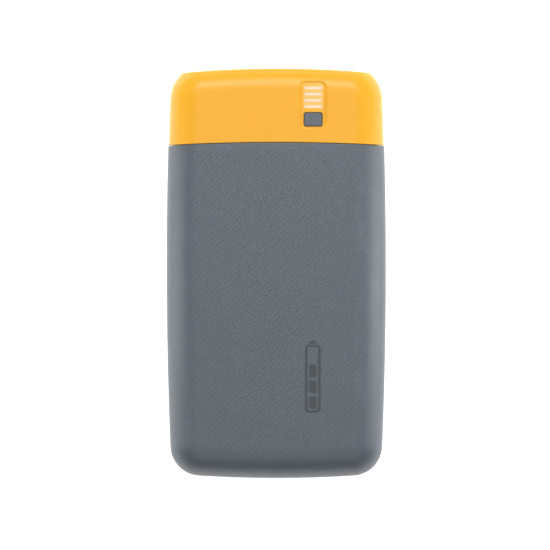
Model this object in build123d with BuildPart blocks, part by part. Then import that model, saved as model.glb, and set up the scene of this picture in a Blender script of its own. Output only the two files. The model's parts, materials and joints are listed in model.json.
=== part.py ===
"""Power bank: two shell halves and an end cap around two pouch cells, a board and three ports.

The bank lies on its back. The origin is the bottom centre of its bounding box: +X to the
right, +Y towards the end cap and its ports, +Z out of the front face. Units are mm.
"""

import os

from build123d import *

os.makedirs("parts", exist_ok=True)

# --- driving dimensions -----------------------------------------------------------------
LENGTH = 132.5
WIDTH = 71.0
THICKNESS = 21.0
MID_Z = THICKNESS / 2

# plan outline: four long arcs and four corners
SIDE_RADIUS = 1436.0
WIDEST_Y = 2.6
TAIL_RADIUS = 398.0
TAIL_CORNER = 9.8
NOSE_RADIUS = 343.0
NOSE_OVERRUN = 2.6
NOSE_CORNER = 12.2
RIM_RADIUS = 9.5

# shell walls
WALL = 1.8
SEAM_Y = 42.25
SEAM_RADIUS = 620.0
SEAM_GAP = 0.15
SEAM_EDGE = 0.25
SHADOW_DEPTH = 0.15
SHADOW_HEIGHT = 0.2
SHOULDER_Y = 38.5
CAP_STEP = 0.12
CAP_WALL = 2.0
NECK_TOP = 46.0
NECK_FIT = 0.13
NECK_INSET = CAP_STEP + CAP_WALL + NECK_FIT
NECK_WALL = 1.4
NECK_EDGE = 0.4
NECK_INNER_FRONT = THICKNESS - NECK_INSET - NECK_WALL
END_EDGE = 1.6
LIP_HEIGHT = 0.6
LIP_INSET = 0.7
LIP_WIDTH = 0.5
LIP_FIT = 0.05
ROOT = 0.3

# dish with the charge lights and the button
DISH_X = 11.9
DISH_TOP = 63.0
DISH_BOTTOM = 46.6
DISH_WIDTH = 9.3
DISH_CORNER = 2.4
DISH_DEPTH = 0.45
DISH_REACH = 1.25
DISH_SLOPE = 54
DISH_EDGE = 0.5
BAR_COUNT = 4
BAR_PITCH = 2.0
BAR_Y = 56.9
BAR_WIDTH = 5.5
BAR_HEIGHT = 0.65
BAR_FIT = 0.05
BAR_SUNK = 0.03
BUTTON_Y = 49.75
BUTTON_WIDTH = 5.8
BUTTON_HEIGHT = 4.3
BUTTON_CORNER = 0.65
BUTTON_EDGE = 0.25
BUTTON_GAP = 0.2

# button, switch and light guide
FLANGE_CLEARANCE = 0.1
FLANGE_THICKNESS = 0.6
FLANGE_REACH = 0.85
FLANGE_CORNER = 1.0
BUTTON_PROUD = 0.3
PLUNGER_TOP = 17.35
PLUNGER_WIDTH = 2.8
PLUNGER_LENGTH = 1.4
PLUNGER_FLANGE = 0.3
PLUNGER_REACH = 0.4
PLUNGER_FIT = 0.2
SWITCH_SIZE = 5.2
SWITCH_CORNER = 0.4
SWITCH_HEIGHT = 1.7
SWITCH_FLOOR = 0.4
SWITCH_PLATE = 0.2
DOME_RADIUS = 1.9
DOME_RISE = 0.7
DOME_THICKNESS = 0.12
DOME_FIT = 0.1
DOME_TOUCH = 0.02
GUIDE_LOW = 17.7
GUIDE_THICKNESS = 0.8
GUIDE_LENGTH = 7.9
GUIDE_LEG = 2.0
GUIDE_MARGIN = 0.8
GUIDE_CORNER = 0.5
SHIELD_MARGIN = 1.1
SHIELD_FIT = 0.1
LAMP_SIZE = (1.6, 0.8, 0.7)

# main board
BOARD_WIDTH = 58.0
BOARD_FROM = 36.5
BOARD_TO = 62.5
BOARD_THICKNESS = 1.2
BOARD_LOW = 13.36
BOARD_HIGH = BOARD_LOW + BOARD_THICKNESS
BOARD_CORNER = 3.4

# ports, all on the mid plane
USB_A_X = (-19.0, 0.0)
USB_A_WIDTH = 13.1
USB_A_HEIGHT = 5.72
USB_A_LENGTH = 14.0
USB_C_X = 18.5
USB_C_WIDTH = 8.94
USB_C_HEIGHT = 3.26
USB_C_LENGTH = 8.6
PORT_WALL = 0.3
PORT_MOUTH = 65.1
PORT_MARGIN = 0.2
PORT_WINDOW_FROM = 63.0
PORT_CORNER = 0.6
SMALL_CORNER = 0.3
LEG_WIDTH = 1.4
LEG_TIP = 0.5
LEG_HOLE = 0.3
USB_A_LEGS_Y = (54.0, 60.0)
USB_C_LEGS_Y = (58.5, 62.0)
TONGUE_GAP = 0.75
TONGUE_THICKNESS = 1.84
TONGUE_SETBACK = 3.0
TONGUE_WIDTH = 11.1
TONGUE_LEAD_IN = 0.5
USB_A_BASE = 3.4
USB_A_CONTACTS = (-3.5, -1.0, 1.0, 3.5)
CONTACT_WIDTH = 1.0
CONTACT_THICKNESS = 0.15
CONTACT_TAIL = 0.5
USB_C_TONGUE_WIDTH = 6.69
USB_C_TONGUE_THICKNESS = 0.7
USB_C_TONGUE_SETBACK = 0.9
USB_C_BASE = 1.8
USB_C_FOOT = 0.9
USB_C_PADS = 12
USB_C_PAD_PITCH = 0.5
USB_C_PAD_WIDTH = 0.25
USB_C_PAD_THICKNESS = 0.05
RIB_X = (-9.5, 10.3)
RIB_WIDTH = 1.2
RIB_FROM = 54.0
RIB_TO = 64.4

# parts on the main board: places are x, y and package sizes are width, length, height
CHIP_EDGE = 0.1
CHARGE_CHIP_SPOT = (14.5, 42.5)
CHARGE_CHIP_SIZE = (5.0, 5.0, 0.85)
PORT_CHIP_SPOT = (13.5, 49.5)
LOGIC_CHIP_SPOT = (-10.0, 52.0)
SMALL_CHIP_SIZE = (4.0, 4.0, 0.85)
TRANSISTORS_X = (-1.5, 2.7, 6.9)
TRANSISTORS_Y = 48.5
TRANSISTOR_SIZE = (3.3, 3.3, 0.9)
CERAMICS_X = (-24.0, -20.0, -16.0, -2.0, 2.0)
CERAMICS_Y = (50.0, 53.0, 56.0)
CERAMIC_SIZE = (1.6, 0.8, 0.8)
RESISTORS_X = (-16.0, -13.0, -10.0, -7.0, 5.0, 8.0, 11.0, 14.0)
RESISTORS_Y = 41.0
RESISTOR_SIZE = (0.8, 1.6, 0.45)
INDUCTOR_SPOT = (5.5, 42.5)
INDUCTOR_SIZE = 7.0
INDUCTOR_CORNER = 1.2
INDUCTOR_HEIGHT = 4.0
CAN_SPOTS = ((-16.2, 46.5), (19.3, 49.5))
CAN_BASE = 6.6
CAN_BASE_HEIGHT = 0.9
CAN_RADIUS = 3.15
CAN_HEIGHT = 5.0
CAN_EDGE = 0.4

# battery plug, socket and leads
PLUG_X = -7.5
PLUG_Z = 11.3
PLUG_WIDTH = 6.2
PLUG_HEIGHT = 3.0
PLUG_LENGTH = 6.5
PLUG_FIT = 0.05
SOCKET_Y = 45.5
SOCKET_LENGTH = 5.0
SOCKET_WALL = 0.9
SOCKET_HEIGHT = 4.3
SOCKET_BACK = 1.0
LEAD_RADIUS = 0.65
LEAD_PITCH = 3.0
LEAD_SPREAD = 7.0
LEAD_LOW_Z = 9.5
LEAD_RUN = 2.3
LEAD_BEND = 2.2

# fixings
SCREW_X = 23.0
SCREW_Y = 43.0
SCREW_RADIUS = 1.0
SCREW_CLEARANCE = 0.2
SCREW_HEAD_RADIUS = 1.8
SCREW_HEAD_DEPTH = 1.2
SCREW_TIP = 17.7
SCREW_EDGE = 0.25
HEAD_FIT = 0.1
DRIVE_WIDTH = 1.9
DRIVE_SLOT = 0.4
DRIVE_DEPTH = 0.6
BOSS_RADIUS = 2.5
SNAP_Y = 44.6
SNAP_WIDTH = 9.0
SNAP_LENGTH = 0.9
SNAP_HEIGHT = 0.4
SNAP_FIT = 0.2

# cells
CELL_WIDTH = 58.0
CELL_FROM = -57.0
CELL_TO = 31.5
CELL_THICKNESS = 7.0
CELL_SEAM = 0.4
CELL_SEAM_HEIGHT = 4.0
CELL_CORNER = 3.0
CELL_EDGE = 1.2
TAPE = 0.2
CELL_BACK_LOW = MID_Z - TAPE / 2 - CELL_THICKNESS
CELL_FRONT_LOW = MID_Z + TAPE / 2
LEDGE_LENGTH = 2.5
LEDGE_THICKNESS = 0.6
TAB_X = 15.0
TAB_WIDTH = 4.0
TAB_THICKNESS = 0.2
TAB_FOOT = 1.4
GUARD_FROM = 34.8
GUARD_WIDTH = 50.0
GUARD_THICKNESS = 0.8
GUARD_HEIGHT = 10.0
GUARD_CORNER = 0.5
GUARD_CHIPS_X = (3.0, 7.0, 11.5)
GUARD_CHIP = 3.0
GUARD_CHIP_HEIGHT = 0.6
BEAD_X = 8.0
BEAD_Y = 32.9
BEAD_Z = 15.25
BEAD_RADIUS = 0.8
BEAD_WIRE = 0.15
BEAD_WIRE_X = 0.35
PAD_Y = -14.0
PAD_CORNER = 2.0
PAD_WIDTH = 48.0
PAD_LENGTH = 76.0
TAIL_PAD_WIDTH = 32.0
TAIL_PAD_LENGTH = 5.6
TAIL_PAD_HALF = 4.5


def save(piece, name):
    """Label a finished piece and write its STEP file."""
    piece.label = name
    export_step(piece, f"parts/{name}.step")


# --- shapes that several pieces share ------------------------------------------------------
def outline(inset):
    """Plan outline moved in by inset: the area inside four large circles, corners rounded."""
    side_x = SIDE_RADIUS - WIDTH / 2
    tail_y = TAIL_RADIUS - LENGTH / 2
    nose_y = LENGTH / 2 + NOSE_OVERRUN - NOSE_RADIUS
    with BuildSketch() as plan:
        with Locations((0, tail_y)):
            Circle(TAIL_RADIUS - inset)
        with Locations((0, nose_y)):
            Circle(NOSE_RADIUS - inset, mode=Mode.INTERSECT)
        with Locations((side_x, WIDEST_Y)):
            Circle(SIDE_RADIUS - inset, mode=Mode.INTERSECT)
        with Locations(Location((-side_x, WIDEST_Y, 0), (0, 0, 180))):
            Circle(SIDE_RADIUS - inset, mode=Mode.INTERSECT)
        fillet(plan.vertices().group_by(Axis.Y)[0], TAIL_CORNER - inset)
        fillet(plan.vertices().group_by(Axis.Y)[-1], NOSE_CORNER - inset)
    return plan.sketch


def pillow(inset):
    """Slab with the plan outline and a rounded rim, every surface moved in by inset."""
    plan = outline(inset)
    with BuildPart() as slab:
        with BuildSketch(Plane.XY.offset(inset)):
            add(plan)
        extrude(amount=THICKNESS - 2 * inset)
        rims = slab.edges().group_by(Axis.Z)[0] + slab.edges().group_by(Axis.Z)[-1]
        fillet(rims, RIM_RADIUS - inset)
    return slab.part


def below_arc(top_y, radius):
    """Everything on the tail side of an arched line that peaks at top_y."""
    with BuildPart() as zone:
        with BuildSketch(Plane.XY.offset(-1)):
            with Locations((0, top_y - radius)):
                Circle(radius)
        extrude(amount=THICKNESS + 2)
    return zone.part


def slab_between(from_y, to_y):
    """Everything between two straight lines across the bank."""
    with BuildPart() as zone:
        with BuildSketch(Plane.XY.offset(-1)):
            with Locations((0, from_y)):
                Rectangle(2 * WIDTH, to_y - from_y, align=(Align.CENTER, Align.MIN))
        extrude(amount=THICKNESS + 2)
    return zone.part


def rim_strip(inset, width, low, high, to_y):
    """Upright strip that follows the outline from inset to inset + width, up to to_y."""
    outer = outline(inset)
    inner = outline(inset + width)
    with BuildPart() as strip:
        with BuildSketch(Plane.XY.offset(low)):
            add(outer)
            add(inner, mode=Mode.SUBTRACT)
            with Locations((0, to_y)):
                Rectangle(2 * WIDTH, WIDTH, align=(Align.CENTER, Align.MIN), mode=Mode.SUBTRACT)
        extrude(amount=high - low)
    return strip.part


# --- shell halves ---------------------------------------------------------------------------
shell_outside = pillow(0)
shell_room = pillow(WALL)
seam_zone = below_arc(SEAM_Y, SEAM_RADIUS)

with BuildPart() as cell_room:
    add(shell_room)
    add(slab_between(-LENGTH, SHOULDER_Y), mode=Mode.INTERSECT)

with BuildPart() as neck:
    add(pillow(NECK_INSET))
    add(slab_between(SHOULDER_Y, NECK_TOP), mode=Mode.INTERSECT)
    fillet(neck.faces().sort_by(Axis.Y)[-1].edges(), NECK_EDGE)

neck_room = pillow(NECK_INSET + NECK_WALL)

with BuildPart() as casing:
    add(shell_outside)
    add(seam_zone, mode=Mode.INTERSECT)
    fillet(casing.faces().sort_by(Axis.Y)[-1].edges(), SEAM_EDGE)
    add(neck.part)
    add(cell_room.part, mode=Mode.SUBTRACT)
    add(neck_room, mode=Mode.SUBTRACT)

lip = rim_strip(LIP_INSET, LIP_WIDTH, MID_Z - LIP_HEIGHT, MID_Z, SHOULDER_Y)
lip_groove = rim_strip(
    LIP_INSET - LIP_FIT,
    LIP_WIDTH + 2 * LIP_FIT,
    MID_Z - LIP_HEIGHT - 2 * LIP_FIT,
    MID_Z,
    SHOULDER_Y + LIP_FIT,
)
shadow_line = rim_strip(
    -SHADOW_DEPTH,
    2 * SHADOW_DEPTH,
    MID_Z - SHADOW_HEIGHT / 2,
    MID_Z + SHADOW_HEIGHT / 2,
    SHOULDER_Y + LIP_FIT,
)
screw_spots = [(-SCREW_X, SCREW_Y), (SCREW_X, SCREW_Y)]
snap_spots = [(-14, SNAP_Y), (14, SNAP_Y)]

with BuildPart() as front_cover:
    add(casing.part)
    split(bisect_by=Plane.XY.offset(MID_Z), keep=Keep.TOP)
    add(lip)
    add(shadow_line, mode=Mode.SUBTRACT)
    with BuildSketch(Plane.XY.offset(BOARD_HIGH)):
        with Locations(*screw_spots):
            Circle(BOSS_RADIUS)
    extrude(amount=NECK_INNER_FRONT - BOARD_HIGH)
    with BuildSketch(Plane.XY.offset(BOARD_HIGH)):
        with Locations(*screw_spots):
            Circle(SCREW_RADIUS)
    extrude(amount=SCREW_TIP - BOARD_HIGH, mode=Mode.SUBTRACT)
    with BuildSketch(Plane.XY.offset(THICKNESS - NECK_INSET - ROOT)):
        with Locations(*snap_spots):
            Rectangle(SNAP_WIDTH, SNAP_LENGTH)
    extrude(amount=ROOT + SNAP_HEIGHT)

with BuildPart() as back_cover:
    add(casing.part)
    split(bisect_by=Plane.XY.offset(MID_Z), keep=Keep.BOTTOM)
    add(lip_groove, mode=Mode.SUBTRACT)
    add(shadow_line, mode=Mode.SUBTRACT)
    with BuildSketch(Plane.XY.offset(NECK_INSET)):
        with Locations(*screw_spots):
            Circle(BOSS_RADIUS)
    extrude(amount=BOARD_LOW - NECK_INSET)
    with BuildSketch(Plane.XY.offset(NECK_INSET)):
        with Locations(*screw_spots):
            Circle(SCREW_HEAD_RADIUS + HEAD_FIT)
    extrude(amount=SCREW_HEAD_DEPTH, mode=Mode.SUBTRACT)
    with BuildSketch(Plane.XY.offset(NECK_INSET)):
        with Locations(*screw_spots):
            Circle(SCREW_RADIUS + SCREW_CLEARANCE)
    extrude(amount=BOARD_LOW - NECK_INSET, mode=Mode.SUBTRACT)
    with BuildSketch(Plane.XY.offset(NECK_INSET + ROOT)):
        with Locations(*snap_spots):
            Rectangle(SNAP_WIDTH, SNAP_LENGTH)
    extrude(amount=-ROOT - SNAP_HEIGHT)

with BuildPart() as cover_screws:
    with BuildSketch(Plane.XY.offset(NECK_INSET + HEAD_FIT)):
        with Locations(*screw_spots):
            Circle(SCREW_HEAD_RADIUS)
    extrude(amount=SCREW_HEAD_DEPTH - HEAD_FIT)
    chamfer(cover_screws.edges().group_by(Axis.Z)[0], SCREW_EDGE)
    with BuildSketch(Plane.XY.offset(NECK_INSET + SCREW_HEAD_DEPTH)):
        with Locations(*screw_spots):
            Circle(SCREW_RADIUS)
    extrude(amount=SCREW_TIP - NECK_INSET - SCREW_HEAD_DEPTH)
    with BuildSketch(Plane.XY.offset(NECK_INSET + HEAD_FIT)):
        with Locations(*screw_spots):
            Rectangle(DRIVE_WIDTH, DRIVE_SLOT)
            Rectangle(DRIVE_SLOT, DRIVE_WIDTH)
    extrude(amount=DRIVE_DEPTH, mode=Mode.SUBTRACT)

save(front_cover.part, "front_cover")
save(back_cover.part, "back_cover")
save(cover_screws.part, "cover_screws")


# --- end cap --------------------------------------------------------------------------------
def bar_spots():
    """Centres of the charge light bars, tail side first."""
    first = BAR_Y - BAR_PITCH * (BAR_COUNT - 1) / 2
    return [(DISH_X, first + BAR_PITCH * index) for index in range(BAR_COUNT)]


def within_dish(edge):
    """True for the edges of the dish, before anything else is cut through its floor."""
    place = edge.center()
    near_x = abs(place.X - DISH_X) < DISH_WIDTH / 2 + 1
    near_y = DISH_BOTTOM - 1 < place.Y < DISH_TOP + 1
    flat_limit = edge.bounding_box().size.X < DISH_WIDTH + 1
    return near_x and near_y and flat_limit and place.Z > MID_Z


cap_outside = pillow(CAP_STEP)
cap_room = pillow(CAP_STEP + CAP_WALL)
dish_floor = pillow(CAP_STEP + DISH_DEPTH)
end_zone = below_arc(LENGTH / 2, NOSE_RADIUS)
end_room = below_arc(LENGTH / 2 - CAP_WALL, NOSE_RADIUS - CAP_WALL)
seam_edge = below_arc(SEAM_Y + SEAM_GAP, SEAM_RADIUS + SEAM_GAP)

with BuildPart() as cap_hollow:
    add(cap_room)
    add(end_room, mode=Mode.INTERSECT)

with BuildPart() as dish:
    with BuildSketch(Plane.XY.offset(THICKNESS)):
        with Locations((DISH_X, (DISH_TOP + DISH_BOTTOM) / 2)):
            RectangleRounded(DISH_WIDTH, DISH_TOP - DISH_BOTTOM, DISH_CORNER)
    extrude(amount=-DISH_REACH, taper=DISH_SLOPE)
    add(dish_floor, mode=Mode.SUBTRACT)

with BuildPart() as snap_pockets:
    with BuildSketch(Plane.XY.offset(CAP_STEP + CAP_WALL - SNAP_HEIGHT)):
        with Locations(*snap_spots):
            Rectangle(SNAP_WIDTH + 2 * SNAP_FIT, SNAP_LENGTH + 2 * SNAP_FIT)
    extrude(amount=THICKNESS - 2 * (CAP_STEP + CAP_WALL - SNAP_HEIGHT))

with BuildPart() as cap_ribs:
    with BuildSketch(Plane.XY.offset(CAP_STEP + CAP_WALL - ROOT)):
        with Locations(*[(x, RIB_FROM) for x in RIB_X]):
            Rectangle(RIB_WIDTH, RIB_TO - RIB_FROM, align=(Align.CENTER, Align.MIN))
    extrude(amount=BOARD_LOW - CAP_STEP - CAP_WALL + ROOT)

with BuildPart() as end_cap:
    add(cap_outside)
    add(end_zone, mode=Mode.INTERSECT)
    fillet(end_cap.faces().sort_by(Axis.Y)[-1].edges(), END_EDGE)
    add(seam_edge, mode=Mode.SUBTRACT)
    fillet(end_cap.faces().sort_by(Axis.Y)[0].edges(), SEAM_EDGE)
    add(dish.part, mode=Mode.SUBTRACT)
    fillet(end_cap.edges().filter_by(within_dish), DISH_EDGE)
    add(cap_hollow.part, mode=Mode.SUBTRACT)
    add(snap_pockets.part, mode=Mode.SUBTRACT)
    add(cap_ribs.part)
    with BuildSketch(Plane.XZ.offset(-PORT_WINDOW_FROM)):
        with Locations(*[(x, MID_Z) for x in USB_A_X]):
            RectangleRounded(
                USB_A_WIDTH + 2 * PORT_MARGIN,
                USB_A_HEIGHT + 2 * PORT_MARGIN,
                PORT_CORNER + PORT_MARGIN,
            )
        with Locations((USB_C_X, MID_Z)):
            SlotOverall(USB_C_WIDTH + 2 * PORT_MARGIN, USB_C_HEIGHT + 2 * PORT_MARGIN)
    extrude(amount=PORT_WINDOW_FROM - LENGTH / 2 - 1, mode=Mode.SUBTRACT)
    with BuildSketch(Plane.XY.offset(MID_Z)):
        with Locations(*bar_spots()):
            Rectangle(BAR_WIDTH + 2 * BAR_FIT, BAR_HEIGHT + 2 * BAR_FIT)
        with Locations((DISH_X, BUTTON_Y)):
            RectangleRounded(
                BUTTON_WIDTH + 2 * BUTTON_GAP,
                BUTTON_HEIGHT + 2 * BUTTON_GAP,
                BUTTON_CORNER + BUTTON_GAP,
            )
    extrude(amount=THICKNESS, mode=Mode.SUBTRACT)

save(end_cap.part, "end_cap")


# --- button and its switch --------------------------------------------------------------------
dish_floor_z = THICKNESS - CAP_STEP - DISH_DEPTH
cap_inner_front = THICKNESS - CAP_STEP - CAP_WALL
flange_high = cap_inner_front - FLANGE_CLEARANCE
flange_low = flange_high - FLANGE_THICKNESS
switch_top = BOARD_HIGH + SWITCH_HEIGHT
dome_low = BOARD_HIGH + SWITCH_FLOOR
dome_high = dome_low + DOME_RISE
switch_spot = Plane.XY.move(Location((DISH_X, BUTTON_Y, 0)))

with BuildPart() as button_cap:
    with BuildSketch(switch_spot.offset(flange_low)):
        RectangleRounded(
            BUTTON_WIDTH + 2 * FLANGE_REACH, BUTTON_HEIGHT + 2 * FLANGE_REACH, FLANGE_CORNER
        )
    extrude(amount=flange_high - flange_low)
    with BuildSketch(switch_spot.offset(flange_low)):
        RectangleRounded(BUTTON_WIDTH, BUTTON_HEIGHT, BUTTON_CORNER)
    extrude(amount=dish_floor_z + BUTTON_PROUD - flange_low)
    fillet(button_cap.edges().group_by(Axis.Z)[-1], BUTTON_EDGE)
    with BuildSketch(switch_spot.offset(PLUNGER_TOP)):
        SlotOverall(PLUNGER_WIDTH, PLUNGER_LENGTH)
    extrude(amount=flange_low - PLUNGER_TOP)

with BuildPart() as switch_body:
    with BuildSketch(switch_spot.offset(BOARD_HIGH)):
        RectangleRounded(SWITCH_SIZE, SWITCH_SIZE, SWITCH_CORNER)
    extrude(amount=SWITCH_HEIGHT)
    with BuildSketch(switch_spot.offset(dome_low)):
        Circle(DOME_RADIUS + DOME_FIT)
    extrude(amount=SWITCH_HEIGHT - SWITCH_FLOOR, mode=Mode.SUBTRACT)

with BuildPart() as switch_plate:
    with BuildSketch(switch_spot.offset(switch_top)):
        RectangleRounded(SWITCH_SIZE, SWITCH_SIZE, SWITCH_CORNER)
        SlotOverall(
            PLUNGER_WIDTH + 2 * PLUNGER_FIT, PLUNGER_LENGTH + 2 * PLUNGER_FIT, mode=Mode.SUBTRACT
        )
    extrude(amount=SWITCH_PLATE)

with BuildPart() as switch_plunger:
    with BuildSketch(switch_spot.offset(dome_high + DOME_TOUCH)):
        SlotOverall(PLUNGER_WIDTH + 2 * PLUNGER_REACH, PLUNGER_LENGTH + 2 * PLUNGER_REACH)
    extrude(amount=PLUNGER_FLANGE)
    with BuildSketch(switch_spot.offset(dome_high + DOME_TOUCH)):
        SlotOverall(PLUNGER_WIDTH, PLUNGER_LENGTH)
    extrude(amount=PLUNGER_TOP - dome_high - DOME_TOUCH)

dome_radius = (DOME_RADIUS**2 + DOME_RISE**2) / (2 * DOME_RISE)
with BuildPart() as switch_dome:
    with Locations((DISH_X, BUTTON_Y, dome_high - dome_radius)):
        Sphere(dome_radius)
        Sphere(dome_radius - DOME_THICKNESS, mode=Mode.SUBTRACT)
    split(bisect_by=Plane.XY.offset(dome_low), keep=Keep.TOP)

save(button_cap.part, "button_cap")
save(switch_body.part, "switch_body")
save(switch_plate.part, "switch_plate")
save(switch_plunger.part, "switch_plunger")
save(switch_dome.part, "switch_dome")


# --- charge lights ------------------------------------------------------------------------------
guide_surface = pillow(CAP_STEP + DISH_DEPTH + BAR_SUNK)

with BuildPart() as light_guide:
    with BuildSketch(Plane.XY.offset(GUIDE_LOW)):
        with Locations(*bar_spots()):
            Rectangle(BAR_WIDTH, BAR_HEIGHT)
    extrude(amount=THICKNESS - GUIDE_LOW)
    add(guide_surface, mode=Mode.INTERSECT)
    with BuildSketch(Plane.XY.offset(GUIDE_LOW)):
        with Locations((DISH_X, BAR_Y)):
            RectangleRounded(BAR_WIDTH + 2 * GUIDE_MARGIN, GUIDE_LENGTH, GUIDE_CORNER)
    extrude(amount=GUIDE_THICKNESS)
    with BuildSketch(Plane.XY.offset(GUIDE_LOW)):
        with Locations(*bar_spots()):
            Rectangle(BAR_WIDTH - 2 * GUIDE_CORNER, BAR_HEIGHT)
    extrude(amount=-GUIDE_LEG)

with BuildPart() as light_shield:
    with BuildSketch(Plane.XY.offset(BOARD_HIGH)):
        with Locations((DISH_X, BAR_Y)):
            RectangleRounded(BAR_WIDTH + 2 * SHIELD_MARGIN, GUIDE_LENGTH, GUIDE_CORNER)
        with Locations(*bar_spots()):
            Rectangle(BAR_WIDTH, BAR_HEIGHT + 4 * SHIELD_FIT, mode=Mode.SUBTRACT)
    extrude(amount=GUIDE_LOW - SHIELD_FIT - BOARD_HIGH)

with BuildPart() as charge_lights:
    with BuildSketch(Plane.XY.offset(BOARD_HIGH)):
        with Locations(*bar_spots()):
            Rectangle(LAMP_SIZE[0], LAMP_SIZE[1])
    extrude(amount=LAMP_SIZE[2])

save(light_guide.part, "light_guide")
save(light_shield.part, "light_shield")
save(charge_lights.part, "charge_lights")


# --- ports ----------------------------------------------------------------------------------------
def mouth_plane(depth):
    """Upright plane across the ports, depth behind their mouths; extrusions run inwards."""
    return Plane.XZ.offset(depth - PORT_MOUTH)


def usb_a_legs(x):
    """Board positions of the four shell legs of a USB-A port."""
    reach = (USB_A_WIDTH - PORT_WALL) / 2
    return [(x + side * reach, y) for side in (-1, 1) for y in USB_A_LEGS_Y]


def usb_a_port(x, name):
    """Steel shell, moulded tongue and four contacts of one USB-A port centred at x."""
    room_width = USB_A_WIDTH - 2 * PORT_WALL
    room_height = USB_A_HEIGHT - 2 * PORT_WALL
    room_low = MID_Z - room_height / 2
    tongue_high = room_low + TONGUE_GAP + TONGUE_THICKNESS
    tail_y = PORT_MOUTH - USB_A_LENGTH - CONTACT_TAIL
    contact_spots = [(x + place, tail_y) for place in USB_A_CONTACTS]
    contact_length = USB_A_LENGTH + CONTACT_TAIL - TONGUE_SETBACK - 2 * CONTACT_TAIL
    with BuildPart() as shell:
        with BuildSketch(mouth_plane(0)):
            with Locations((x, MID_Z)):
                RectangleRounded(USB_A_WIDTH, USB_A_HEIGHT, PORT_CORNER)
                RectangleRounded(room_width, room_height, SMALL_CORNER, mode=Mode.SUBTRACT)
        extrude(amount=USB_A_LENGTH)
        with BuildSketch(Plane.XY.offset(MID_Z)):
            with Locations(*usb_a_legs(x)):
                Rectangle(PORT_WALL, LEG_WIDTH)
        extrude(amount=BOARD_HIGH + LEG_TIP - MID_Z)
    with BuildPart() as contacts:
        with BuildSketch(Plane.XY.offset(tongue_high - CONTACT_THICKNESS)):
            with Locations(*contact_spots):
                Rectangle(CONTACT_WIDTH, contact_length, align=(Align.CENTER, Align.MIN))
        extrude(amount=CONTACT_THICKNESS)
        with BuildSketch(Plane.XY.offset(tongue_high - CONTACT_THICKNESS)):
            with Locations(*contact_spots):
                Rectangle(CONTACT_WIDTH, CONTACT_THICKNESS, align=(Align.CENTER, Align.MIN))
        extrude(amount=BOARD_LOW - tongue_high + CONTACT_THICKNESS)
    with BuildPart() as tongue:
        with BuildSketch(mouth_plane(USB_A_LENGTH)):
            with Locations((x, MID_Z)):
                RectangleRounded(room_width, room_height, SMALL_CORNER)
        extrude(amount=-USB_A_BASE)
        with BuildSketch(mouth_plane(USB_A_LENGTH)):
            with Locations((x, room_low + TONGUE_GAP)):
                Rectangle(TONGUE_WIDTH, TONGUE_THICKNESS, align=(Align.CENTER, Align.MIN))
        extrude(amount=-(USB_A_LENGTH - TONGUE_SETBACK))
        tongue_end = tongue.faces().sort_by(Axis.Y)[-1]
        chamfer(tongue_end.edges().filter_by(Axis.X), TONGUE_LEAD_IN)
        add(contacts.part, mode=Mode.SUBTRACT)
    save(shell.part, f"{name}_shell")
    save(tongue.part, f"{name}_tongue")
    save(contacts.part, f"{name}_contacts")


usb_a_port(USB_A_X[0], "usb_a_left")
usb_a_port(USB_A_X[1], "usb_a_middle")

usb_c_room = (USB_C_WIDTH - 2 * PORT_WALL, USB_C_HEIGHT - 2 * PORT_WALL)
usb_c_reach = (USB_C_WIDTH - PORT_WALL) / 2
usb_c_legs = [(USB_C_X + side * usb_c_reach, y) for side in (-1, 1) for y in USB_C_LEGS_Y]

with BuildPart() as usb_c_shell:
    with BuildSketch(mouth_plane(0)):
        with Locations((USB_C_X, MID_Z)):
            SlotOverall(USB_C_WIDTH, USB_C_HEIGHT)
            SlotOverall(*usb_c_room, mode=Mode.SUBTRACT)
    extrude(amount=USB_C_LENGTH)
    with BuildSketch(Plane.XY.offset(MID_Z)):
        with Locations(*usb_c_legs):
            Rectangle(PORT_WALL, LEG_WIDTH)
    extrude(amount=BOARD_LOW - MID_Z)

with BuildPart() as usb_c_tongue:
    with BuildSketch(mouth_plane(USB_C_LENGTH)):
        with Locations((USB_C_X, MID_Z)):
            SlotOverall(*usb_c_room)
    extrude(amount=-USB_C_BASE)
    with BuildSketch(mouth_plane(USB_C_LENGTH)):
        with Locations((USB_C_X, MID_Z)):
            RectangleRounded(
                USB_C_TONGUE_WIDTH, USB_C_TONGUE_THICKNESS, SMALL_CORNER
            )
    extrude(amount=-(USB_C_LENGTH - USB_C_TONGUE_SETBACK))
    with BuildSketch(mouth_plane(USB_C_LENGTH)):
        with Locations((USB_C_X, BOARD_LOW)):
            Rectangle(
                USB_C_WIDTH - USB_C_FOOT,
                BOARD_LOW - MID_Z + USB_C_HEIGHT / 2,
                align=(Align.CENTER, Align.MAX),
            )
    extrude(amount=USB_C_FOOT)

with BuildPart() as usb_c_contacts:
    first_x = USB_C_X - USB_C_PAD_PITCH * (USB_C_PADS - 1) / 2
    pads_y = PORT_MOUTH - USB_C_TONGUE_SETBACK - CONTACT_TAIL
    pad_length = pads_y - PORT_MOUTH + USB_C_LENGTH - USB_C_BASE - PORT_MARGIN
    pads = [(first_x + USB_C_PAD_PITCH * index, pads_y) for index in range(USB_C_PADS)]
    for side in (-1, 1):
        with BuildSketch(Plane.XY.offset(MID_Z + side * USB_C_TONGUE_THICKNESS / 2)):
            with Locations(*pads):
                Rectangle(USB_C_PAD_WIDTH, pad_length, align=(Align.CENTER, Align.MAX))
        extrude(amount=side * USB_C_PAD_THICKNESS)

save(usb_c_shell.part, "usb_c_shell")
save(usb_c_tongue.part, "usb_c_tongue")
save(usb_c_contacts.part, "usb_c_contacts")


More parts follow.
